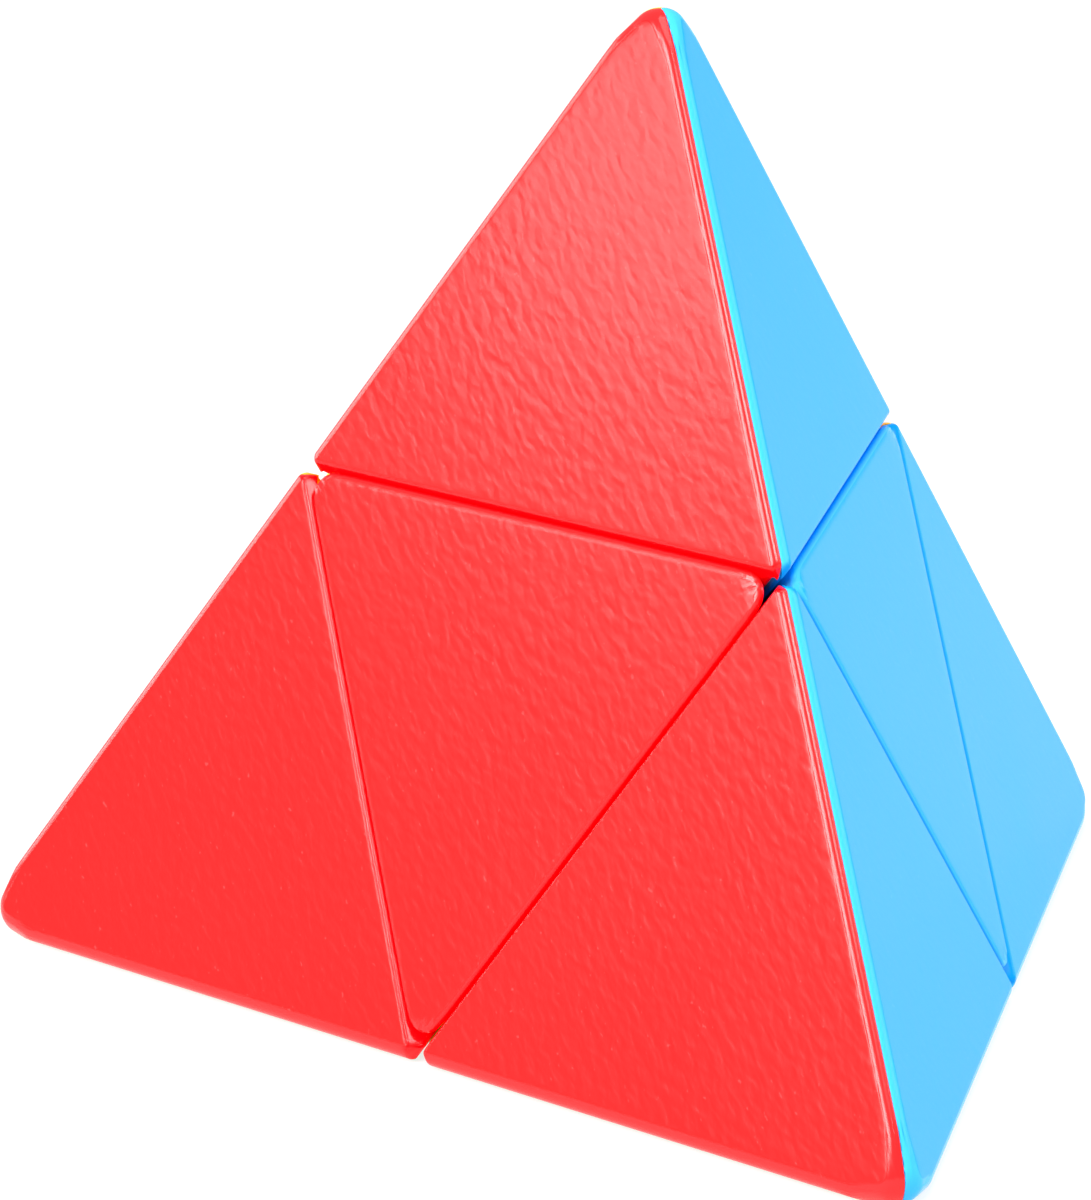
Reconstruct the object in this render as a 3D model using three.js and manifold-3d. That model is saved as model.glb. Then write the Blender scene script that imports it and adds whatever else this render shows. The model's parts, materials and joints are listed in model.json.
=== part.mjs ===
// A pyramid twisty puzzle: a tetrahedron cut by three planes through its centre into eight pieces.
// Four corner pieces carry three colours each and four centre pieces carry one. They clip on to a
// round mechanism of twelve hidden edges and six sprung caps, screwed to a six-armed core.
//
// Lengths are millimetres. The part frame has its origin in the middle of the bottom face, +Z up
// and the front tip towards -Y. The pieces are drawn in a second frame, the cut frame, whose axes
// are the three turning axes and whose origin is the middle of the tetrahedron.
import * as THREE from "three";
import { ConvexGeometry } from "three/addons/geometries/ConvexGeometry.js";
import { mergeVertices } from "three/addons/utils/BufferGeometryUtils.js";
import Module from "manifold-3d";

const wasm = await Module();
wasm.setup();

// ---------------------------------------------------------------- driving sizes
const EDGE = 76; // the tetrahedron's edge, with its tips sharp
const RIDGE_RADIUS = 0.85; // rounding along the six outer edges
const TIP_RADIUS = 2.0; // rounding of each tip, seen square on to a face
const CUT_GAP = 0.3; // between two pieces that turn past each other
const SEAM_GAP = 0.3; // between two pieces that are clipped together
const CORNER_TRIM = 1.5; // length taken off a corner piece's ridge where four pieces meet
const CENTRE_TRIM = 1.0; // the same, off the points of a centre piece
const PANEL_WALL = 1.4; // coloured shell
const CARRIER_WALL = 1.05; // inner block between the shell and the mechanism, at its thinnest
const RUNNING = 0.18; // clearance on each side of a turning surface

const CAP_THICKNESS = 2.8; // outer shell of the mechanism: caps and outer halves of the edges
const FOOT_THICKNESS = 2.6; // inner shell: feet and inner halves of the edges
const NECK_REACH = 1.06; // from a foot's middle line to the side of its neck, per axis
const FOOT_LIP = 1.5; // how far a foot reaches under its neighbours

const ARM_RADIUS = 2.6;
const BALL_RADIUS = 4.4;
const ARM_CLEARANCE = 0.3; // from the end of a core arm to its cap
const ANCHOR_DEPTH = 1.0; // how far the core's peg reaches into the anchored centre piece
const ANCHOR_CLEARANCE = 0.3; // from that peg to the hidden edges around it

const SHANK_RADIUS = 1.0;
const SHANK_CLEARANCE = 0.2;
const SCREW_TIP = 3.0; // from the middle of the core to the tip of each screw
const HOLE_OVERRUN = 0.4; // core hole past the screw's tip
const HEAD_RADIUS = 2.1;
const HEAD_HEIGHT = 1.1;
const HEAD_SINK = 0.35; // head top below the cap's round face
const SLOT_WIDTH = 0.55;
const SLOT_LENGTH = 2.6;
const SLOT_DEPTH = 0.6;
const POCKET_CLEARANCE = 0.3; // around the screw head and the spring
const CAP_FLOOR = 1.5; // plastic under the spring

const WIRE_RADIUS = 0.25;
const SPRING_RADIUS = 1.75; // middle of the wire
const SPRING_TURNS = 3;
const SPRING_END_GAP = 0.1;

const PEG_RADIUS = 1.2; // stakes that hold a coloured shell to its inner block
const PEG_LENGTH = 2.2;
const PEG_CLEARANCE = 0.15;
const CORNER_PEG_CIRCLE = 5;
const CENTRE_PEG_CIRCLE = 10.5;
const LIGHTENING_RADIUS = 3.2; // blind bore down the middle of a corner piece
const LIGHTENING_FLOOR = 4; // left over the mechanism

// ---------------------------------------------------------------- sizes that follow
const FACE_DISTANCE = EDGE / (2 * Math.sqrt(6)); // from the middle to each face
const TIP_DISTANCE = 3 * FACE_DISTANCE;
const HALF_CUBE = TIP_DISTANCE / Math.sqrt(3); // a tip lies at (1, 1, 1) times this
const FAR = 2 * EDGE; // past everything

const OUTER_RADIUS = FACE_DISTANCE - PANEL_WALL - SEAM_GAP - CARRIER_WALL - RUNNING;
const MIDDLE_RADIUS = OUTER_RADIUS - CAP_THICKNESS;
const INNER_RADIUS = MIDDLE_RADIUS - FOOT_THICKNESS;
const OUTER_SPLIT = MIDDLE_RADIUS / Math.sqrt(3) - NECK_REACH; // caps end here, edges begin
const INNER_SPLIT = OUTER_SPLIT - FOOT_LIP; // stalks end here, edge feet begin
const ARM_LENGTH = INNER_RADIUS - ARM_CLEARANCE;
const HEAD_TOP = OUTER_RADIUS - RUNNING - HEAD_SINK;
const HEAD_BASE = HEAD_TOP - HEAD_HEIGHT;
const SPRING_SEAT = INNER_RADIUS + CAP_FLOOR;
// The peg on the core fills the room between three hidden edges, less its clearance.
const ANCHOR_ROOM = INNER_RADIUS / Math.sqrt(3) - (INNER_SPLIT - RUNNING);
const ANCHOR_RADIUS = (ANCHOR_ROOM - ANCHOR_CLEARANCE) * Math.sqrt(3 / 2);

// Facets. Flat facets bring a hollow ball face nearer to the solid one that runs in it, so hollow
// faces are finer.
const HOLLOW_DETAIL = 5;
const SOLID_DETAIL = 3;
const INNER_DETAIL = 2;
const POCKET_SIDES = 16;
const HOLE_SIDES = 10;
const PEG_SIDES = 8;

// ---------------------------------------------------------------- solids
const AXES = [new THREE.Vector3(1, 0, 0), new THREE.Vector3(0, 1, 0), new THREE.Vector3(0, 0, 1)];

function turnTo(from, to) {
  return new THREE.Quaternion().setFromUnitVectors(from, to);
}

function toSolid(geometry) {
  const bare = geometry.index ? geometry.toNonIndexed() : geometry.clone();
  bare.deleteAttribute("normal");
  bare.deleteAttribute("uv");
  const merged = mergeVertices(bare, 1e-4);
  return new wasm.Manifold(
    new wasm.Mesh({
      numProp: 3,
      vertProperties: merged.attributes.position.array,
      triVerts: new Uint32Array(merged.index.array),
    }),
  );
}

function toGeometry(solid) {
  const mesh = solid.getMesh();
  const positions = new THREE.BufferAttribute(new Float32Array(mesh.vertProperties), 3);
  const geometry = new THREE.BufferGeometry();
  geometry.setAttribute("position", positions);
  geometry.setIndex(new THREE.BufferAttribute(new Uint32Array(mesh.triVerts), 1));
  return geometry;
}

function union(first, ...others) {
  return others.reduce((sum, solid) => sum.add(solid), first);
}

function cut(first, ...others) {
  return others.reduce((rest, solid) => rest.subtract(solid), first);
}

// The box between two opposite corners.
function box(low, high) {
  const size = high.map((value, i) => value - low[i]);
  const geometry = new THREE.BoxGeometry(...size);
  geometry.translate(...high.map((value, i) => (value + low[i]) / 2));
  return toSolid(geometry);
}

// Everything past a plane, out to well beyond the puzzle.
function beyond(normal, distance) {
  const geometry = new THREE.BoxGeometry(2 * FAR, 2 * FAR, FAR);
  geometry.translate(0, 0, distance + FAR / 2);
  const axis = new THREE.Vector3(...normal).normalize();
  geometry.applyQuaternion(turnTo(AXES[2], axis));
  return toSolid(geometry);
}

function ball(radius, detail) {
  return toSolid(new THREE.OctahedronGeometry(radius, detail));
}

// A round bar along an axis through a point, from one distance along it to another.
function bar(radius, from, to, axis, sides = HOLE_SIDES, offset = new THREE.Vector3()) {
  const geometry = new THREE.CylinderGeometry(radius, radius, to - from, sides);
  geometry.translate(0, (from + to) / 2, 0);
  geometry.applyQuaternion(turnTo(AXES[1], axis));
  geometry.translate(offset.x, offset.y, offset.z);
  return toSolid(geometry);
}

// ---------------------------------------------------------------- the tetrahedron
const TIPS = {
  top: new THREE.Vector3(1, 1, 1),
  right: new THREE.Vector3(1, -1, -1),
  left: new THREE.Vector3(-1, 1, -1),
  front: new THREE.Vector3(-1, -1, 1),
};
const FACES = {
  green: new THREE.Vector3(-1, -1, -1),
  red: new THREE.Vector3(-1, 1, 1),
  blue: new THREE.Vector3(1, -1, 1),
  yellow: new THREE.Vector3(1, 1, -1),
};
const CENTRES = { ...TIPS, ...FACES };

// The name of the tip or face that lies in one octant of the cut frame.
function nameAt(signs) {
  return Object.keys(CENTRES).find((name) => CENTRES[name].distanceTo(signs) < 0.5);
}

// A sharp tetrahedron whose faces lie a given distance from the middle.
function tetrahedron(faceDistance) {
  const scale = (faceDistance * 3) / Math.sqrt(3);
  return toSolid(new ConvexGeometry(Object.values(TIPS).map((tip) => tip.clone().multiplyScalar(scale))));
}

// Directions that fan out between three face normals, for the rounding at one tip.
function fan(normals, steps) {
  const directions = [];
  for (let i = 0; i <= steps; i++) {
    for (let j = 0; j <= steps - i; j++) {
      const direction = new THREE.Vector3();
      [i, j, steps - i - j].forEach((weight, n) => direction.addScaledVector(normals[n], weight));
      directions.push(direction.normalize());
    }
  }
  return directions;
}

// The puzzle's outside: small balls rolled round a slightly smaller tetrahedron, whose faces have
// round corners, and a dome over each tip.
function roundedTetrahedron() {
  const ARC_STEPS = 3;
  const FAN_STEPS = 3;
  const arcRadius = TIP_RADIUS - RIDGE_RADIUS;
  const innerTip = TIP_DISTANCE - 3 * RIDGE_RADIUS;
  const points = [];
  for (const tip of Object.values(TIPS)) {
    const vertex = tip.clone().setLength(innerTip);
    const normals = Object.values(FACES).filter((face) => face.dot(tip) > 0);
    const directions = fan(normals.map((normal) => normal.clone().normalize()), FAN_STEPS);
    const centres = [vertex.clone().setLength(innerTip - arcRadius * 0.75)];
    for (const normal of normals) {
      const flat = normal.clone().normalize();
      const inward = vertex.clone().projectOnPlane(flat).normalize().negate();
      const middle = vertex.clone().addScaledVector(inward, 2 * arcRadius);
      for (let step = 0; step <= ARC_STEPS; step++) {
        const turn = ((step / ARC_STEPS - 0.5) * 2 * Math.PI) / 3;
        const spoke = inward.clone().negate().applyAxisAngle(flat, turn);
        centres.push(middle.clone().addScaledVector(spoke, arcRadius));
      }
    }
    for (const centre of centres) {
      for (const direction of directions) {
        points.push(centre.clone().addScaledVector(direction, RIDGE_RADIUS));
      }
    }
  }
  return toSolid(new ConvexGeometry(points));
}

// The octant of one piece, drawn in from the cut planes by a distance.
function octant(signs, inset) {
  const low = signs.map((sign) => (sign > 0 ? inset : -FAR));
  const high = signs.map((sign) => (sign > 0 ? FAR : -inset));
  return box(low, high);
}

// Round stakes, or the holes for them, square to a face, on a circle about a point of that face.
function pegs(normal, middle, towards, circle, radius, depth) {
  const inward = normal.clone().normalize().negate();
  const spoke = towards.clone().sub(middle).projectOnPlane(normal).setLength(circle);
  return [0, 1, 2].map((n) => {
    const place = middle.clone().add(spoke.clone().applyAxisAngle(inward, (n * 2 * Math.PI) / 3));
    return bar(radius, PANEL_WALL / 2, PANEL_WALL + depth, inward, PEG_SIDES, place);
  });
}

const BALLS = {
  pieceInside: ball(OUTER_RADIUS + RUNNING, HOLLOW_DETAIL),
  capOutside: ball(OUTER_RADIUS - RUNNING, SOLID_DETAIL),
  capInside: ball(MIDDLE_RADIUS + RUNNING, HOLLOW_DETAIL),
  footOutside: ball(MIDDLE_RADIUS - RUNNING, SOLID_DETAIL),
  footInside: ball(INNER_RADIUS, INNER_DETAIL),
};
const OUTSIDE = roundedTetrahedron();
const SHELL_INSIDE = tetrahedron(FACE_DISTANCE - PANEL_WALL);
const CARRIER_OUTSIDE = tetrahedron(FACE_DISTANCE - PANEL_WALL - SEAM_GAP);

const CORNER = [1, 1, 1]; // the octant of the top corner piece, from which the other three are turned
const CENTRE = [-1, -1, -1]; // the octant of the green centre piece

// The hollow coloured shell of one whole piece, before its points are trimmed.
function shell(signs) {
  const outside = OUTSIDE.intersect(octant(signs, CUT_GAP / 2));
  const inside = SHELL_INSIDE.intersect(octant(signs, CUT_GAP / 2 + PANEL_WALL));
  return cut(outside, inside, BALLS.pieceInside);
}

// The carrier, neck and foot under a coloured shell, in one moulding.
function carrier(signs) {
  const block = CARRIER_OUTSIDE.intersect(octant(signs, CUT_GAP / 2 + PANEL_WALL + SEAM_GAP));
  const neck = CARRIER_OUTSIDE.intersect(octant(signs, OUTER_SPLIT + RUNNING));
  const foot = BALLS.footOutside.intersect(octant(signs, INNER_SPLIT + RUNNING));
  return union(cut(block, BALLS.pieceInside), cut(neck, BALLS.footInside), cut(foot, BALLS.footInside));
}

// ---------------------------------------------------------------- corner pieces
const CORNER_FACE_MIDDLE = new THREE.Vector3(2, 2, 1).multiplyScalar(HALF_CUBE / 3);

// The yellow third of the top corner's shell: the other eleven panels are turned copies.
function cornerPanel() {
  const seam = SEAM_GAP / 2;
  let panel = shell(CORNER);
  panel = panel.intersect(beyond([1, 0, -1], seam)).intersect(beyond([0, 1, -1], seam));
  const trimmed = (HALF_CUBE - Math.SQRT2 * CORNER_TRIM) / Math.sqrt(3);
  panel = cut(panel, beyond([1, -1, -1], trimmed), beyond([-1, 1, -1], trimmed));
  const stakes = pegs(
    FACES.yellow, CORNER_FACE_MIDDLE, TIPS.top.clone().multiplyScalar(HALF_CUBE),
    CORNER_PEG_CIRCLE, PEG_RADIUS, PEG_LENGTH,
  );
  return toGeometry(union(panel, ...stakes));
}

function cornerFoot() {
  const diagonal = TIPS.top.clone().normalize();
  const lightening = bar(LIGHTENING_RADIUS, OUTER_RADIUS + LIGHTENING_FLOOR, TIP_DISTANCE, diagonal);
  let body = cut(carrier(CORNER), lightening);
  for (const n of [0, 1, 2]) {
    const turn = (n * 2 * Math.PI) / 3;
    const holes = pegs(
      FACES.yellow.clone().applyAxisAngle(diagonal, turn),
      CORNER_FACE_MIDDLE.clone().applyAxisAngle(diagonal, turn),
      TIPS.top.clone().multiplyScalar(HALF_CUBE),
      CORNER_PEG_CIRCLE, PEG_RADIUS + PEG_CLEARANCE, PEG_LENGTH + SEAM_GAP,
    );
    body = cut(body, ...holes);
  }
  return toGeometry(body);
}

// ---------------------------------------------------------------- centre pieces
const CENTRE_FACE_MIDDLE = FACES.green.clone().setLength(FACE_DISTANCE);
const CENTRE_FACE_POINT = new THREE.Vector3(-HALF_CUBE, 0, 0);

function centrePanel() {
  const trimmed = HALF_CUBE - CENTRE_TRIM / Math.SQRT2;
  const points = AXES.map((axis) => beyond(axis.clone().negate().toArray(), trimmed));
  const stakes = pegs(
    FACES.green, CENTRE_FACE_MIDDLE, CENTRE_FACE_POINT, CENTRE_PEG_CIRCLE, PEG_RADIUS, PEG_LENGTH,
  );
  return toGeometry(union(cut(shell(CENTRE), ...points), ...stakes));
}

function centreFoot(anchored) {
  const holes = pegs(
    FACES.green, CENTRE_FACE_MIDDLE, CENTRE_FACE_POINT,
    CENTRE_PEG_CIRCLE, PEG_RADIUS + PEG_CLEARANCE, PEG_LENGTH + SEAM_GAP,
  );
  const body = cut(carrier(CENTRE), ...holes);
  if (!anchored) return toGeometry(body);
  const depth = INNER_RADIUS + ANCHOR_DEPTH + SEAM_GAP;
  const socket = bar(ANCHOR_RADIUS + SEAM_GAP, 0, depth, FACES.green.clone().normalize());
  return toGeometry(cut(body, socket));
}

// ---------------------------------------------------------------- the mechanism
// A hidden edge, drawn between the +X and +Y caps.
function innerEdge() {
  const slice = (from, half) => box([from, from, -half], [FAR, FAR, half]);
  const foot = slice(INNER_SPLIT + RUNNING, INNER_SPLIT - RUNNING).intersect(BALLS.footOutside);
  const bridge = slice(OUTER_SPLIT + RUNNING, INNER_SPLIT - RUNNING).intersect(BALLS.capOutside);
  const outer = slice(OUTER_SPLIT + RUNNING, OUTER_SPLIT - RUNNING).intersect(BALLS.capOutside);
  return toGeometry(union(
    cut(foot, BALLS.footInside), cut(bridge, BALLS.footInside), cut(outer, BALLS.capInside),
  ));
}

// A sprung cap, drawn on +Z: a round-faced block on a square stalk, bored for its screw and spring.
function cap() {
  const column = (half, from) => box([-half, -half, from], [half, half, FAR]);
  const stalk = column(INNER_SPLIT - RUNNING, INNER_RADIUS).intersect(BALLS.capOutside);
  const outer = column(OUTER_SPLIT - RUNNING, OUTER_SPLIT + RUNNING).intersect(BALLS.capOutside);
  const hole = bar(SHANK_RADIUS + SHANK_CLEARANCE, 0, FAR, AXES[2]);
  const pocket = bar(HEAD_RADIUS + POCKET_CLEARANCE, SPRING_SEAT, FAR, AXES[2], POCKET_SIDES);
  return toGeometry(cut(union(stalk, cut(outer, BALLS.capInside)), hole, pocket));
}

function screw() {
  const shank = bar(SHANK_RADIUS, SCREW_TIP, HEAD_BASE + HEAD_HEIGHT / 2, AXES[2]);
  const head = bar(HEAD_RADIUS, HEAD_BASE, HEAD_TOP, AXES[2], POCKET_SIDES);
  const floor = HEAD_TOP - SLOT_DEPTH;
  const slot = box([-SLOT_LENGTH / 2, -SLOT_WIDTH / 2, floor], [SLOT_LENGTH / 2, SLOT_WIDTH / 2, FAR]);
  const cross = box([-SLOT_WIDTH / 2, -SLOT_LENGTH / 2, floor], [SLOT_WIDTH / 2, SLOT_LENGTH / 2, FAR]);
  return toGeometry(cut(union(shank, head), slot, cross));
}

class Helix extends THREE.Curve {
  constructor(radius, from, to, turns) {
    super();
    Object.assign(this, { radius, from, to, turns });
  }

  getPoint(t, target = new THREE.Vector3()) {
    const angle = t * this.turns * 2 * Math.PI;
    return target.set(
      this.radius * Math.cos(angle),
      this.radius * Math.sin(angle),
      this.from + t * (this.to - this.from),
    );
  }
}

function spring() {
  const STEPS_PER_TURN = 9;
  const WIRE_SIDES = 6;
  const wire = new THREE.Shape();
  wire.absarc(0, 0, WIRE_RADIUS, 0, 2 * Math.PI);
  const low = SPRING_SEAT + WIRE_RADIUS + SPRING_END_GAP;
  const high = HEAD_BASE - WIRE_RADIUS - SPRING_END_GAP;
  return new THREE.ExtrudeGeometry(wire, {
    steps: STEPS_PER_TURN * SPRING_TURNS,
    curveSegments: WIRE_SIDES / 2,
    bevelEnabled: false,
    extrudePath: new Helix(SPRING_RADIUS, low, high, SPRING_TURNS),
  });
}

// A ball with six bored arms, and the peg that anchors the green centre piece.
function core() {
  const arms = [];
  const holes = [];
  for (const axis of AXES) {
    arms.push(bar(ARM_RADIUS, -ARM_LENGTH, ARM_LENGTH, axis));
    for (const way of [axis, axis.clone().negate()]) {
      holes.push(bar(SHANK_RADIUS + SHANK_CLEARANCE, SCREW_TIP - HOLE_OVERRUN, FAR, way));
    }
  }
  const down = FACES.green.clone().normalize();
  const anchor = bar(ANCHOR_RADIUS, BALL_RADIUS / 2, INNER_RADIUS + ANCHOR_DEPTH, down);
  return toGeometry(cut(union(ball(BALL_RADIUS, INNER_DETAIL), ...arms, anchor), ...holes));
}

// ---------------------------------------------------------------- materials
function plastic(color, roughness) {
  return new THREE.MeshStandardMaterial({ color, roughness, metalness: 0 });
}

const SHELL_COLOURS = {
  red: plastic(0xf5302f, 0.45),
  blue: plastic(0x55c3f7, 0.35),
  yellow: plastic(0xf7d716, 0.4),
  green: plastic(0x2fc43a, 0.4),
};
const INNER_PLASTIC = plastic(0x18161a, 0.5);
const STEEL = new THREE.MeshStandardMaterial({ color: 0xb9bcc0, roughness: 0.3, metalness: 1 });

// ---------------------------------------------------------------- assembly
const puzzle = new THREE.Group();
const cutFrame = new THREE.Group();
cutFrame.position.set(0, 0, FACE_DISTANCE);
cutFrame.quaternion.setFromRotationMatrix(
  new THREE.Matrix4().makeBasis(
    new THREE.Vector3(1 / Math.sqrt(2), 1 / Math.sqrt(6), 1 / Math.sqrt(3)),
    new THREE.Vector3(-1 / Math.sqrt(2), 1 / Math.sqrt(6), 1 / Math.sqrt(3)),
    new THREE.Vector3(0, -Math.sqrt(2 / 3), 1 / Math.sqrt(3)),
  ),
);
puzzle.add(cutFrame);

function place(parent, name, geometry, material) {
  const mesh = new THREE.Mesh(geometry, material);
  mesh.name = name;
  parent.add(mesh);
  return mesh;
}

place(cutFrame, "core", core(), INNER_PLASTIC);

// Six arms: a cap, a spring and a screw on each, named after the outer edge they lie under.
const capGeometry = cap();
const springGeometry = spring();
const screwGeometry = screw();
for (const axis of AXES) {
  for (const sign of [1, -1]) {
    const way = axis.clone().multiplyScalar(sign);
    const ends = Object.keys(TIPS).filter((tip) => TIPS[tip].dot(way) > 0);
    const arm = new THREE.Group();
    arm.quaternion.copy(turnTo(AXES[2], way));
    cutFrame.add(arm);
    const side = ends.join("_");
    place(arm, `cap_${side}`, capGeometry, INNER_PLASTIC);
    place(arm, `spring_${side}`, springGeometry, STEEL);
    place(arm, `screw_${side}`, screwGeometry, STEEL);
  }
}

// Twelve hidden edges, each between one corner piece and one centre piece.
const edgeGeometry = innerEdge();
for (const third of [0, 1, 2]) {
  for (const signA of [1, -1]) {
    for (const signB of [1, -1]) {
      const a = AXES[(third + 1) % 3].clone().multiplyScalar(signA);
      const b = AXES[(third + 2) % 3].clone().multiplyScalar(signB);
      const c = a.clone().cross(b);
      const sides = [c, c.clone().negate()].map((way) => nameAt(a.clone().add(b).add(way)));
      const [tip, face] = sides[0] in TIPS ? sides : sides.reverse();
      const edge = place(cutFrame, `inner_edge_${tip}_${face}`, edgeGeometry, INNER_PLASTIC);
      edge.quaternion.setFromRotationMatrix(new THREE.Matrix4().makeBasis(a, b, c));
    }
  }
}

// Four corner pieces and four centre pieces: half turns about the cut axes carry the top corner
// and the green centre to the others.
const cornerPanelGeometry = cornerPanel();
const cornerFootGeometry = cornerFoot();
const centrePanelGeometry = centrePanel();
for (const turn of [null, ...AXES]) {
  const quarter = new THREE.Group();
  if (turn) quarter.quaternion.setFromAxisAngle(turn, Math.PI);
  cutFrame.add(quarter);
  const turned = (vector) => vector.clone().applyQuaternion(quarter.quaternion).round();
  const tip = nameAt(turned(TIPS.top));
  place(quarter, `corner_foot_${tip}`, cornerFootGeometry, INNER_PLASTIC);
  for (const n of [0, 1, 2]) {
    const third = new THREE.Group();
    third.quaternion.setFromAxisAngle(TIPS.top.clone().normalize(), (n * 2 * Math.PI) / 3);
    quarter.add(third);
    const colour = nameAt(turned(FACES.yellow.clone().applyQuaternion(third.quaternion)));
    place(third, `corner_panel_${tip}_${colour}`, cornerPanelGeometry, SHELL_COLOURS[colour]);
  }
  const face = nameAt(turned(FACES.green));
  place(quarter, `centre_foot_${face}`, centreFoot(face === "green"), INNER_PLASTIC);
  place(quarter, `centre_panel_${face}`, centrePanelGeometry, SHELL_COLOURS[face]);
}

export default puzzle;
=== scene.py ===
"""A pyramid twisty puzzle in coloured plastic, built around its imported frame.

Lengths here are millimetres until a mesh is made, in metres. The pieces are drawn in the cut frame,
whose axes are the three turning axes and whose origin is the middle of the tetrahedron, and are
then turned into the row frame.
"""

import json
import math

import bmesh
import bpy
import numpy as np
from mathutils import Matrix, Quaternion, Vector


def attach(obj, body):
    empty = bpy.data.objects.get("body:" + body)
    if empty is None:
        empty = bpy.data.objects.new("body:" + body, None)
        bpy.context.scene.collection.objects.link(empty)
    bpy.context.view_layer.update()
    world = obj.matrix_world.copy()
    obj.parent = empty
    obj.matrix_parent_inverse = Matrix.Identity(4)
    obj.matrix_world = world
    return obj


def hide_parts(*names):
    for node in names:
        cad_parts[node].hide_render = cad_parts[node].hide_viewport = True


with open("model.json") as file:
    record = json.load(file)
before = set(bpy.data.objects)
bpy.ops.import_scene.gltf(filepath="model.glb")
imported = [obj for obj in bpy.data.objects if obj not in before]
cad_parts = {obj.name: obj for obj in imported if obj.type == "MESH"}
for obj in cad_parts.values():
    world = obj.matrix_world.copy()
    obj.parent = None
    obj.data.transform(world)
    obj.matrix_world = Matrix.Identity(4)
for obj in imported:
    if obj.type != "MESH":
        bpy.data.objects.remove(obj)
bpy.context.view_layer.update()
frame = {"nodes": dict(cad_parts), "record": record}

# ---------------------------------------------------------------- sizes of the coloured pieces
MILLIMETRE = 0.001
EDGE = 76.0  # the tetrahedron's edge, with its tips sharp
FACE_DISTANCE = EDGE / (2 * math.sqrt(6))
TIP_DISTANCE = 3 * FACE_DISTANCE
HALF_CUBE = TIP_DISTANCE / math.sqrt(3)
PANEL_WALL = 1.4
CUT_HALF_GAP = 0.012  # from a turning plane to the pieces on each side of it
SEAM_HALF_GAP = 0.004  # from the middle of a ridge to the panels on each side of it
RIM_OVERLAP = 0.5  # how far the side panels wrap round the bottom ridges, past their middle

RIDGE_RADIUS = 0.85  # the ball that the two bands of a ridge touch
BAND_TURNS = (math.radians(30), math.radians(48))  # from a face to the two bands along its ridge
CREASE_RADIUS = 0.95  # between a face and its band
SEAM_FILLET = 0.07  # along the seams between the panels of one corner piece
CUT_FILLET = 0.34  # along the turning cuts
END_RADIUS = 0.35  # round the blunt ends of a corner piece's ridges
POINT_RADIUS = 1.9  # at the points of a centre piece
CORNER_TRIM = 1.2  # length taken off a corner piece's ridge where four pieces meet
TIP_SPHERE = 1.8  # the ball at each tip
TIP_OPENING = math.radians(45)  # half the angle of the cone that the ball of a tip sits on
TIP_TOP = 43.59  # from the middle of the puzzle to the top of each rounded tip
TIP_BLEND = 1.5  # between a tip and the faces below it
SMOOTH_ANGLE = math.radians(28)  # sharper edges than this are drawn sharp
CORNER_INSIDE = (0.62, 0.62, 0.3)  # a point inside a corner panel, in half cubes
CENTRE_INSIDE = (-0.22, -0.22, -0.22)  # and one inside a centre panel

# ---------------------------------------------------------------- sizes of the mechanism
PANEL_SEAT = 0.3  # between a panel and the inner block that it is clipped to
CARRIER_WALL = 1.05  # inner block between the panel and the mechanism, at its thinnest
RUNNING = 0.18  # clearance on each side of a turning surface
OUTER_RADIUS = FACE_DISTANCE - PANEL_WALL - PANEL_SEAT - CARRIER_WALL - RUNNING

TIPS = {"top": (1, 1, 1), "right": (1, -1, -1), "left": (-1, 1, -1), "front": (-1, -1, 1)}
FACES = {"green": (-1, -1, -1), "red": (-1, 1, 1), "blue": (1, -1, 1), "yellow": (1, 1, -1)}
CUT_AXES = (Vector((1, 0, 0)), Vector((0, 1, 0)), Vector((0, 0, 1)))
TO_ROW = Matrix(
    (
        (1 / math.sqrt(2), -1 / math.sqrt(2), 0, 0),
        (1 / math.sqrt(6), 1 / math.sqrt(6), -math.sqrt(2 / 3), 0),
        (1 / math.sqrt(3), 1 / math.sqrt(3), 1 / math.sqrt(3), FACE_DISTANCE),
        (0, 0, 0, 1),
    )
)


def unit(vector):
    vector = np.array(vector, float)
    return vector / np.linalg.norm(vector)


# ---------------------------------------------------------------- rounded convex solids
class Flat:
    """A plane that bounds a solid."""

    def __init__(self, normal, distance):
        self.normal = unit(normal)
        self.distance = distance

    def __call__(self, points):
        return points @ self.normal - self.distance, np.broadcast_to(self.normal, points.shape)


def rounded(first, second, radius):
    """Where two solids overlap, with a fillet of that radius along the edge between them."""

    def field(points):
        a, normal_a = first(points)
        b, normal_b = second(points)
        cosine = np.clip(np.sum(normal_a * normal_b, axis=1), -0.9999, 0.9999)
        spread = 1 - cosine * cosine
        along_a = ((a + radius) - cosine * (b + radius)) / spread
        along_b = ((b + radius) - cosine * (a + radius)) / spread
        spoke = along_a[:, None] * normal_a + along_b[:, None] * normal_b
        length = np.linalg.norm(spoke, axis=1)
        on_fillet = (along_a > 0) & (along_b > 0)
        flat_normal = np.where((a > b)[:, None], normal_a, normal_b)
        value = np.where(on_fillet, length - radius, np.maximum(a, b))
        outward = spoke / np.maximum(length, 1e-9)[:, None]
        return value, np.where(on_fillet[:, None], outward, flat_normal)

    return field


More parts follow.
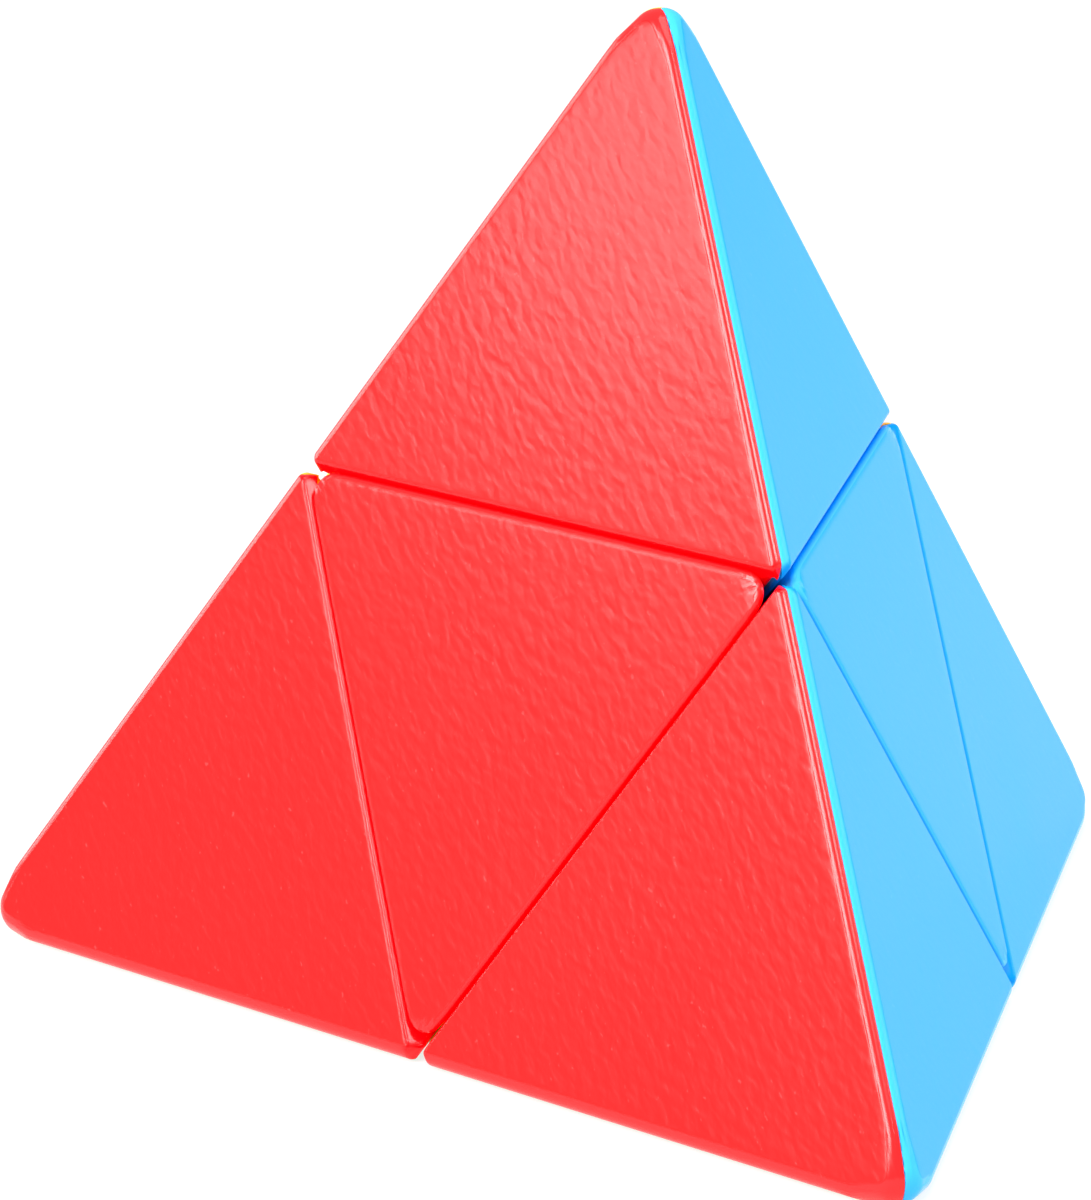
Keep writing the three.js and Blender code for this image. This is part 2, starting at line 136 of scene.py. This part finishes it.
def polygons_of(planes):
    """The corners of each face of the sharp solid between some planes, in order round the face."""
    normals = np.array([plane.normal for plane in planes])
    distances = np.array([plane.distance for plane in planes])
    corners = {}
    count = len(planes)
    for i in range(count):
        for j in range(i + 1, count):
            for k in range(j + 1, count):
                rows = normals[[i, j, k]]
                if abs(np.linalg.det(rows)) < 1e-6:
                    continue
                point = np.linalg.solve(rows, distances[[i, j, k]])
                if np.all(normals @ point <= distances + 1e-6):
                    corners[tuple(np.round(point, 5))] = point
    points = np.array(list(corners.values()))
    polygons = []
    for normal, distance in zip(normals, distances):
        on_face = points[np.abs(points @ normal - distance) < 1e-4]
        if len(on_face) < 3:
            continue
        middle = on_face.mean(axis=0)
        across = unit(on_face[0] - middle)
        upward = np.cross(normal, across)
        angles = np.arctan2((on_face - middle) @ upward, (on_face - middle) @ across)
        polygons.append(on_face[np.argsort(angles)])
    return polygons


def graded(steps, power):
    """Numbers from 0 to 1 that crowd towards both ends."""
    line = np.linspace(0, 1, steps + 1)
    near, far = line**power, (1 - line) ** power
    return near / (near + far)


def solid_net(planes, field, inside, edge_steps=22, row_steps=14):
    """A fine closed mesh of a rounded convex solid: a net over each face of its sharp form, finer
    towards the edges, drawn along rays from a point inside on to the rounded surface."""
    along = graded(edge_steps, 2.4)
    rows = (np.linspace(0, 1, row_steps + 1)) ** 2.4
    directions, quads = [], []
    index = {}

    def add(point):
        key = tuple(np.round(point, 4))
        if key not in index:
            index[key] = len(directions)
            directions.append(point)
        return index[key]

    for polygon in polygons_of(planes):
        middle = polygon.mean(axis=0)
        for start, end in zip(polygon, np.roll(polygon, -1, axis=0)):
            net = []
            for row in rows:
                line = []
                for t in along:
                    rim = start + t * (end - start)
                    line.append(add(rim + row * (middle - rim)))
                net.append(line)
            for lower, upper in zip(net, net[1:]):
                for a, b, c, d in zip(lower, lower[1:], upper[1:], upper):
                    quads.append([v for n, v in enumerate((a, b, c, d)) if v not in (a, b, c, d)[:n]])
    targets = np.array(directions)
    inside = np.array(inside, float)
    rays = targets - inside
    rays /= np.linalg.norm(rays, axis=1)[:, None]
    low, high = np.zeros(len(rays)), np.full(len(rays), 2 * EDGE)
    for _ in range(48):
        reach = (low + high) / 2
        outside = field(inside + reach[:, None] * rays)[0] > 0
        high = np.where(outside, reach, high)
        low = np.where(outside, low, reach)
    surface = inside + low[:, None] * rays
    return surface, [quad for quad in quads if len(quad) > 2]


# ---------------------------------------------------------------- meshes and booleans
def new_object(name, points, faces):
    """A mesh object from its corners and faces."""
    mesh = bpy.data.meshes.new(name)
    mesh.from_pydata([tuple(point) for point in points], [], faces)
    mesh.validate()
    piece = bpy.data.objects.new(name, mesh)
    bpy.context.scene.collection.objects.link(piece)
    return piece


def cut_away(piece, other):
    """Takes other out of piece, then throws it away."""
    step = piece.modifiers.new("cut", "BOOLEAN")
    step.operation = "DIFFERENCE"
    step.object = other
    step.solver = "EXACT"
    graph = bpy.context.evaluated_depsgraph_get()
    made = bpy.data.meshes.new_from_object(piece.evaluated_get(graph))
    piece.modifiers.clear()
    piece.data = made
    bpy.data.objects.remove(other)


def sharp_object(name, planes):
    """The sharp solid between some planes."""
    points, faces = [], []
    for polygon in polygons_of(planes):
        loop = []
        for corner in polygon:
            near = [n for n, point in enumerate(points) if np.linalg.norm(point - corner) < 1e-4]
            if near:
                loop.append(near[0])
            else:
                loop.append(len(points))
                points.append(corner)
        faces.append(loop)
    return new_object(name, points, faces)


def ball_object(name, radius, segments=96):
    piece = new_object(name, [], [])
    work = bmesh.new()
    bmesh.ops.create_uvsphere(work, u_segments=segments, v_segments=segments // 2, radius=radius)
    work.to_mesh(piece.data)
    work.free()
    return piece


# ---------------------------------------------------------------- coloured panels
def ridge_bands(face, neighbour):
    """The narrow bands along the ridge between two faces, on the first face's side."""
    face, neighbour = unit(face), unit(neighbour)
    ridge = unit(face + neighbour)
    opening = math.acos(face @ ridge)
    centre = ridge * (FACE_DISTANCE - RIDGE_RADIUS) / (face @ ridge)
    bands = []
    for turn in BAND_TURNS:
        normal = (math.sin(opening - turn) * face + math.sin(turn) * ridge) / math.sin(opening)
        bands.append(Flat(normal, normal @ centre + RIDGE_RADIUS))
    return bands


def tip_cap(direction):
    """The rounded tip: a ball on the end of a wide cone."""
    axis = unit(direction)
    centre = axis * (TIP_TOP - TIP_SPHERE)
    slope_out, slope_up = math.cos(TIP_OPENING), math.sin(TIP_OPENING)

    def field(points):
        offset = points - centre
        height = offset @ axis
        sideways = offset - height[:, None] * axis
        width = np.linalg.norm(sideways, axis=1)
        outward = sideways / np.maximum(width, 1e-9)[:, None]
        length = np.linalg.norm(offset, axis=1)
        on_ball = height * slope_out > width * slope_up
        value = np.where(on_ball, length, width * slope_out + height * slope_up) - TIP_SPHERE
        ball_normal = offset / np.maximum(length, 1e-9)[:, None]
        cone_normal = slope_out * outward + slope_up * axis
        return value, np.where(on_ball[:, None], ball_normal, cone_normal)

    return field


def corner_panel_mesh(blue_overlap, red_overlap):
    """The yellow third of the top corner piece's coloured shell. At each of its two ridges it may
    wrap round past the middle, or stop short of it where its neighbour wraps round."""
    face = FACES["yellow"]
    plate = Flat(face, FACE_DISTANCE)
    bands = ridge_bands(face, FACES["blue"]) + ridge_bands(face, FACES["red"])
    turning_cuts = [Flat((0, 0, -1), -CUT_HALF_GAP)]
    if blue_overlap > 0:
        bands += reversed(ridge_bands(FACES["blue"], face))
        turning_cuts.append(Flat((0, -1, 0), -CUT_HALF_GAP))
    if red_overlap > 0:
        bands += reversed(ridge_bands(FACES["red"], face))
        turning_cuts.append(Flat((-1, 0, 0), -CUT_HALF_GAP))
    seams = [
        Flat((0, -1, 1), blue_overlap - SEAM_HALF_GAP),
        Flat((-1, 0, 1), red_overlap - SEAM_HALF_GAP),
    ]
    trimmed = (HALF_CUBE - math.sqrt(2) * CORNER_TRIM) / math.sqrt(3)
    trims = [Flat((1, -1, -1), trimmed), Flat((-1, 1, -1), trimmed)]
    field = plate
    for band in bands:
        field = rounded(field, band, CREASE_RADIUS)
    field = rounded(field, tip_cap(TIPS["top"]), TIP_BLEND)
    for trim in trims:
        field = rounded(field, trim, END_RADIUS)
    for seam in seams:
        field = rounded(field, seam, SEAM_FILLET)
    for turning_cut in turning_cuts:
        field = rounded(field, turning_cut, CUT_FILLET)
    tip = Flat(TIPS["top"], TIP_TOP)
    planes = [plate, *bands, *seams, *turning_cuts, *trims, tip]
    inside = np.array(CORNER_INSIDE) * HALF_CUBE
    envelope = new_object("corner_envelope", *solid_net(planes, field, inside))
    hollow = [Flat(face, FACE_DISTANCE - PANEL_WALL), Flat((1, 1, 1), EDGE)]
    hollow += [Flat(-axis, -CUT_HALF_GAP - PANEL_WALL) for axis in np.eye(3)]
    return hollowed(envelope, hollow)


def centre_panel_mesh():
    """The green centre piece's coloured shell."""
    face = FACES["green"]
    plate = Flat(face, FACE_DISTANCE)
    cuts = [Flat(axis, -CUT_HALF_GAP) for axis in np.eye(3)]
    sides = rounded(rounded(cuts[0], cuts[1], POINT_RADIUS), cuts[2], POINT_RADIUS)
    field = rounded(sides, plate, CUT_FILLET)
    inside = np.array(CENTRE_INSIDE) * HALF_CUBE
    envelope = new_object("centre_envelope", *solid_net([plate, *cuts], field, inside))
    hollow = [Flat(face, FACE_DISTANCE - PANEL_WALL)]
    hollow += [Flat(axis, -CUT_HALF_GAP - PANEL_WALL) for axis in np.eye(3)]
    return hollowed(envelope, hollow)


def hollowed(envelope, hollow):
    """Takes the room for the inner block and for the round mechanism out of a solid piece."""
    cut_away(envelope, sharp_object("hollow", hollow))
    cut_away(envelope, ball_object("mechanism_room", OUTER_RADIUS + RUNNING))
    mesh = envelope.data
    bpy.data.objects.remove(envelope)
    return mesh


def placed(mesh, name, turn, material):
    """A turned copy of a mesh, in the row frame and in metres."""
    copy = mesh.copy()
    copy.name = name
    copy.transform(Matrix.Scale(MILLIMETRE, 4) @ TO_ROW @ turn)
    copy.shade_smooth()
    copy.set_sharp_from_angle(angle=SMOOTH_ANGLE)
    copy.materials.clear()
    copy.materials.append(material)
    piece = bpy.data.objects.new(name, copy)
    bpy.context.scene.collection.objects.link(piece)
    return piece


def name_at(signs, names):
    """The tip or face that lies in one octant of the cut frame."""
    return next(name for name, place in names.items() if (Vector(place) - signs).length < 0.5)


# ---------------------------------------------------------------- shader expressions
class Value:
    """A number that varies over a surface, as the output of a shader node."""

    def __init__(self, paint, socket):
        self.paint = paint
        self.socket = socket

    def maths(self, operation, *values):
        return self.paint.node("ShaderNodeMath", {"operation": operation}, dict(enumerate(values)))

    def __add__(self, other):
        return self.maths("ADD", self, other)

    def __sub__(self, other):
        return self.maths("SUBTRACT", self, other)

    def __rsub__(self, other):
        return self.maths("SUBTRACT", other, self)

    def __mul__(self, other):
        return self.maths("MULTIPLY", self, other)

    __radd__ = __add__
    __rmul__ = __mul__

    def without_sign(self):
        return self.maths("ABSOLUTE", self)

    def or_less(self, other):
        return self.maths("MINIMUM", self, other)

    def between(self, low, high):
        """0 below low, 1 above high and smooth in between."""
        settings = {"interpolation_type": "SMOOTHSTEP"}
        values = {"Value": self, "From Min": low, "From Max": high}
        return self.paint.node("ShaderNodeMapRange", settings, values)


class Paint:
    """A material built from nodes."""

    def __init__(self, name, **constants):
        self.material = bpy.data.materials.new(name)
        self.material.use_nodes = True
        self.tree = self.material.node_tree
        self.shader = self.tree.nodes["Principled BSDF"]
        for socket, constant in constants.items():
            self.shader.inputs[socket.replace("_", " ")].default_value = constant
        self.place = self.node("ShaderNodeTexCoord", {}, {}, "Object")

    def node(self, kind, settings, values, output=0):
        """Adds a node, sets it up and joins or fills its sockets. Returns one of its outputs."""
        made = self.tree.nodes.new(kind)
        for name, setting in settings.items():
            setattr(made, name, setting)
        for name, value in values.items():
            if isinstance(value, Value):
                self.tree.links.new(value.socket, made.inputs[name])
            else:
                made.inputs[name].default_value = value
        return Value(self, made.outputs[output])

    def feed(self, **sockets):
        for socket, value in sockets.items():
            self.tree.links.new(value.socket, self.shader.inputs[socket.replace("_", " ")])

    def noise(self, scale, detail=2.0, roughness=0.5, distortion=0.0, place=None):
        values = {"Vector": place or self.place, "Scale": scale, "Detail": detail}
        values |= {"Roughness": roughness, "Distortion": distortion}
        return self.node("ShaderNodeTexNoise", {}, values)

    def mixed(self, amount, first, second):
        """A colour between two others."""
        return self.node("ShaderNodeMix", {"data_type": "RGBA"}, {0: amount, 6: first, 7: second}, 2)

    def stretched(self, scale):
        """Object coordinates drawn out by a factor along each axis."""
        return self.node("ShaderNodeMapping", {}, {"Vector": self.place, "Scale": scale})

    def dot(self, way):
        """How far a point lies along a way of the row frame, in metres."""
        settings = {"operation": "DOT_PRODUCT"}
        return self.node("ShaderNodeVectorMath", settings, {0: self.place, 1: tuple(way)}, 1)

    def past_plane(self, normal, distance):
        """How far, in metres, a point lies outside a plane of the row frame."""
        return self.dot(normal) - distance

    def from_cuts(self):
        """How far, in metres, a point lies from the nearest of the three turning planes."""
        middle = TO_ROW.translation * MILLIMETRE
        ways = [TO_ROW.to_3x3() @ axis for axis in CUT_AXES]
        near, *others = (self.past_plane(way, way.dot(middle)).without_sign() for way in ways)
        for other in others:
            near = near.or_less(other)
        return near

    def joined(self, x, y, z):
        return self.node("ShaderNodeCombineXYZ", {}, {0: x, 1: y, 2: z})

    def bump(self, height, depth, strength):
        values = {"Height": height, "Distance": depth, "Strength": strength}
        return self.node("ShaderNodeBump", {}, values)


def linear(red, green, blue):
    """A colour given as 0 to 255 values on a screen, for a shader."""
    share = [c / 255 for c in (red, green, blue)]
    return tuple(c / 12.92 if c <= 0.04045 else ((c + 0.055) / 1.055) ** 2.4 for c in share) + (1.0,)


# ---------------------------------------------------------------- finishes
GRAIN_EDGE = 0.00003  # the grain stops where the surface drops this far below its face, in metres
GRAIN_TURN = 46  # degrees from straight up a face to the grain
GRAIN_DEPTH = 0.000065  # metres
SMOOTH_GLOSS = 0.17  # roughness of the smooth edges
GAP_GLOW = 0.22  # strength of the light scattered into the gaps
CUT_SHADE_SPAN = (0.0002, 0.0005)  # metres from a turning cut, over which the painted shade near the cut fades
GLOW_DEPTH = (-0.0024, -0.0006)  # metres below a face, over which the scattered light dies


def face_normal(name):
    """A coloured face's way out, in the row frame."""
    return tuple(TO_ROW.to_3x3() @ Vector(FACES[name]).normalized())


def face_distance(name):
    """How far a coloured face's plane lies from the row frame's origin, in metres."""
    middle = TO_ROW @ (Vector(FACES[name]).normalized() * FACE_DISTANCE)
    return middle.dot(Vector(face_normal(name))) * MILLIMETRE


def grain_frame(name):
    """Three ways square to each other: along the grain of a coloured face, across it and out."""
    out = Vector(face_normal(name))
    uphill = Vector((0, 1, 0)) if name == "green" else Vector((0, 0, 1))
    straight = (uphill - uphill.dot(out) * out).normalized()
    along = Quaternion(out, math.radians(GRAIN_TURN)) @ straight
    return along, out.cross(along), out


def shell_plastic(name, body, deep, smooth_and_sheen, cut_shade, rub_and_glint, glow, grain, shine):
    """Injection-moulded plastic in one colour. The outer face has a soft drawn-out leather grain, small
    bright flecks that are painted glints of light on the grain, and a few faint rubs. The bands, fillets
    and cut faces beside it are smooth, painted lighter than the face as a painted sheen, and painted
    deeper in colour near a turning cut as painted shade in the gap. The emission stands for the light
    that the translucent plastic scatters into its narrow gaps."""
    paint = Paint(f"{name}_shell_plastic", IOR=1.4, Specular_IOR_Level=shine, Emission_Strength=GAP_GLOW)
    below = paint.past_plane(face_normal(name), face_distance(name))
    on_face = below.between(-GRAIN_EDGE, -GRAIN_EDGE / 4)
    along, across, out = (paint.dot(way) for way in grain_frame(name))
    leather = paint.noise(1.0, 1.0, 0.4, 0.2, paint.joined(along * 950, across * 1650, out * 1650))
    fine = paint.noise(3600, 2.0, 0.5)
    cloud = paint.noise(70, 3.0, 0.5)
    # painted highlight: these flecks are glints of light on the grain, painted into the colour
    glint_place = paint.joined(along * 2400, across * 3600, out * 3600)
    glint = paint.noise(1.0, 1.0, 0.4, 0.0, glint_place).between(0.73, 0.8)
    rub_place = paint.joined(along * 260, across * 60, out * 60)
    rubs = paint.noise(1.0, 4.0, 0.6, 0.3, rub_place).between(0.7, 0.8)
    colour = paint.mixed(cloud.between(0.3, 0.7) * 0.4, body, deep)
    # painted highlight: bright glints on the grain, painted in the pale colour; the rubs below are real
    # wear in the same pale colour
    colour = paint.mixed(on_face * glint * grain * 0.16, colour, rub_and_glint)
    colour = paint.mixed(on_face * rubs * 0.1, colour, rub_and_glint)
    # painted shade: a deeper colour on the smooth surfaces close to a turning cut, standing in for the
    # shade in the gap
    smooth_and_sheen = paint.mixed(paint.from_cuts().between(*CUT_SHADE_SPAN), cut_shade, smooth_and_sheen)
    # painted sheen: the smooth bands, fillets and cut faces get a colour lighter than the face's own body
    # colour
    colour = paint.mixed(on_face, smooth_and_sheen, colour)
    roughness = SMOOTH_GLOSS + on_face * (0.03 + 0.06 * grain + cloud * 0.06 + rubs * 0.06)
    height = on_face * grain * (leather + fine * 0.02)
    glow = paint.mixed(below.between(*GLOW_DEPTH), linear(0, 0, 0), paint.mixed(cloud, glow, deep))
    normal = paint.bump(height, GRAIN_DEPTH, 0.6)
    paint.feed(Base_Color=colour, Roughness=roughness, Normal=normal, Emission_Color=glow)
    return paint.material


def inner_plastic():
    """The dark plastic of the mechanism: satin, with faint moulding marks."""
    paint = Paint("inner_plastic", IOR=1.5)
    cloud = paint.noise(160, 4.0, 0.55)
    grit = paint.noise(3800, 2.0, 0.5)
    colour = paint.mixed(cloud.between(0.35, 0.65), linear(17, 16, 19), linear(30, 29, 33))
    roughness = 0.36 + cloud * 0.14 + grit * 0.06
    paint.feed(Base_Color=colour, Roughness=roughness, Normal=paint.bump(grit, 0.00002, 0.4))
    return paint.material


def steel(name, tone, dark):
    """Bright zinc-plated steel with fine turning marks."""
    paint = Paint(name, Metallic=1.0)
    cloud = paint.noise(700, 3.0, 0.5)
    marks = paint.noise(1.0, 2.0, 0.5, 0.0, paint.stretched((400, 9000, 9000)))
    colour = paint.mixed(cloud, tone, dark)
    paint.feed(Base_Color=colour, Roughness=0.2 + marks * 0.2, Normal=paint.bump(marks, 0.000008, 0.4))
    return paint.material


SHELL_COLOURS = {  # body, deep, smooth bands (lighter than the body, a painted sheen), cut shade (painted shade near the cuts), pale (real rubs and painted glints) and glow
    "red": ((248, 14, 14), (244, 8, 8), (248, 30, 32), (240, 2, 10), (255, 120, 120), (255, 0, 8)),
    "blue": ((2, 161, 246), (0, 156, 242), (64, 182, 240), (8, 142, 226), (150, 225, 255), (0, 100, 190)),
    "yellow": ((246, 190, 8), (241, 182, 5), (246, 196, 30), (236, 160, 0), (255, 236, 150), (190, 120, 0)),
    "green": ((20, 178, 52), (16, 168, 44), (40, 188, 70), (0, 130, 30), (150, 230, 160), (0, 150, 30)),
}
GRAIN_AND_SHINE = {"red": (1.0, 0.5), "blue": (0.3, 0.1), "yellow": (0.8, 0.5), "green": (0.8, 0.5)}
SHELLS = {
    name: shell_plastic(name, *(linear(*colour) for colour in colours), *GRAIN_AND_SHINE[name])
    for name, colours in SHELL_COLOURS.items()
}
INNER = inner_plastic()
SCREW_STEEL = steel("screw_steel", linear(214, 216, 220), linear(168, 170, 176))
SPRING_STEEL = steel("spring_steel", linear(196, 198, 202), linear(150, 152, 158))
METAL_OF = {"screw": SCREW_STEEL, "spring": SPRING_STEEL}


def overlap_of(colour, neighbour):
    """1 where a side panel wraps round a green one, -1 for that green one and 0 between two sides."""
    return (neighbour == "green") - (colour == "green")


# ---------------------------------------------------------------- the coloured panels, in place
bodies = frame["record"]["behaviour"]["bodies"]
body_of = {node: body for body, nodes in bodies.items() for node in nodes}
corner_meshes = {
    overlaps: corner_panel_mesh(*(RIM_OVERLAP * sign for sign in overlaps))
    for overlaps in ((0, 0), (-1, -1), (1, 0), (0, 1))
}
centre_mesh = centre_panel_mesh()
for axis in (None, *CUT_AXES):
    half_turn = Matrix.Rotation(math.pi, 4, axis) if axis else Matrix.Identity(4)
    tip = name_at(half_turn @ Vector(TIPS["top"]), TIPS)
    face = name_at(half_turn @ Vector(FACES["green"]), FACES)
    panels = [(centre_mesh, f"centre_panel_{face}", half_turn, face)]
    for n in range(3):
        turn = half_turn @ Matrix.Rotation(n * 2 * math.pi / 3, 4, Vector(TIPS["top"]))
        drawn = ("yellow", "blue", "red")
        colour, *neighbours = (name_at(turn @ Vector(FACES[name]), FACES) for name in drawn)
        overlaps = tuple(overlap_of(colour, neighbour) for neighbour in neighbours)
        panels.append((corner_meshes[overlaps], f"corner_panel_{tip}_{colour}", turn, colour))
    for mesh, node, turn, colour in panels:
        panel = placed(mesh, node.replace("panel", "shell"), turn, SHELLS[colour])
        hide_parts(node)
        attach(panel, body_of[node])

for node, piece in frame["nodes"].items():
    if node.startswith(("corner_panel", "centre_panel")):
        continue
    finish = METAL_OF.get(node.split("_")[0], INNER)
    piece.data.materials.clear()
    piece.data.materials.append(finish)


# ---------------------------------------------------------------- floor, light and camera
def light_table():
    """A white sheet lit from below."""
    paint = Paint("light_table", Emission_Strength=0.78)
    cloud = paint.noise(6, 2.0, 0.5)
    colour = paint.mixed(cloud, linear(122, 122, 122), linear(128, 128, 128))
    paint.feed(Base_Color=colour, Roughness=0.85 + cloud * 0.05)
    paint.shader.inputs["Emission Color"].default_value = (1.0, 1.0, 1.0, 1.0)
    return paint.material


FLOOR_REACH = 4  # metres each way
FLOOR_DROP = 0.0001  # metres, so that the floor and the face on it don't share a plane
floor_corners = [(x * FLOOR_REACH, y * FLOOR_REACH, 0) for x, y in ((-1, -1), (1, -1), (1, 1), (-1, 1))]
floor = new_object("floor", floor_corners, [(0, 1, 2, 3)])
floor.location.z = -FLOOR_DROP
floor.data.materials.append(light_table())

world = bpy.data.worlds.new("studio")
world.use_nodes = True
world.node_tree.nodes["Background"].inputs["Color"].default_value = (1.0, 1.0, 1.0, 1.0)
world.node_tree.nodes["Background"].inputs["Strength"].default_value = 0.43
bpy.context.scene.world = world
bpy.context.scene.view_settings.view_transform = "Standard"


def toward(azimuth, elevation):
    """The way to a place seen at an azimuth from -Y, turning to +X, and an elevation."""
    a, e = math.radians(azimuth), math.radians(elevation)
    return Vector((math.sin(a) * math.cos(e), -math.cos(a) * math.cos(e), math.sin(e)))


def soft_light(name, azimuth, elevation, distance, size, power, aim=Vector((0, 0, 0.03))):
    lamp = bpy.data.lights.new(name, "AREA")
    lamp.shape = "DISK"
    lamp.size = size
    lamp.energy = power
    holder = bpy.data.objects.new(name, lamp)
    away = toward(azimuth, elevation)
    holder.location = aim + away * distance
    holder.rotation_euler = away.to_track_quat("Z", "Y").to_euler()
    bpy.context.scene.collection.objects.link(holder)


soft_light("top_softbox", 0, 84, 0.8, 0.5, 2.3)
soft_light("front_softbox", 25, 50, 0.9, 0.3, 2.4)
soft_light("right_softbox", 82, 20, 0.5, 0.28, 0.8)
soft_light("crease_softbox", -74, 31, 0.6, 0.34, 4.6)
soft_light("ridge_softbox", -20, 51, 0.6, 0.12, 0.9)
soft_light("edge_softbox", -143, 12, 0.5, 0.2, 0.45)
soft_light("sheen_softbox", -101, 14, 0.2, 0.05, 0.065, Vector((0.003, -0.009, 0.069)))

CAMERA_AZIMUTH = -18.05
CAMERA_ELEVATION = 16.15
CAMERA_ROLL = -0.165
CAMERA_DISTANCE = 0.39001
CAMERA_AIM = Vector((-0.005774, 0.004117, 0.022848))
view = bpy.data.cameras.new("camera")
view.lens = 215.6
view.sensor_width = 36
view.sensor_fit = "HORIZONTAL"
view.clip_start = 0.01
camera = bpy.data.objects.new("camera", view)
back = toward(CAMERA_AZIMUTH, CAMERA_ELEVATION)
camera.location = CAMERA_AIM + back * CAMERA_DISTANCE
level = back.to_track_quat("Z", "Y")
camera.rotation_euler = (level @ Quaternion((0, 0, 1), math.radians(CAMERA_ROLL))).to_euler()
bpy.context.scene.collection.objects.link(camera)
bpy.context.scene.camera = camera
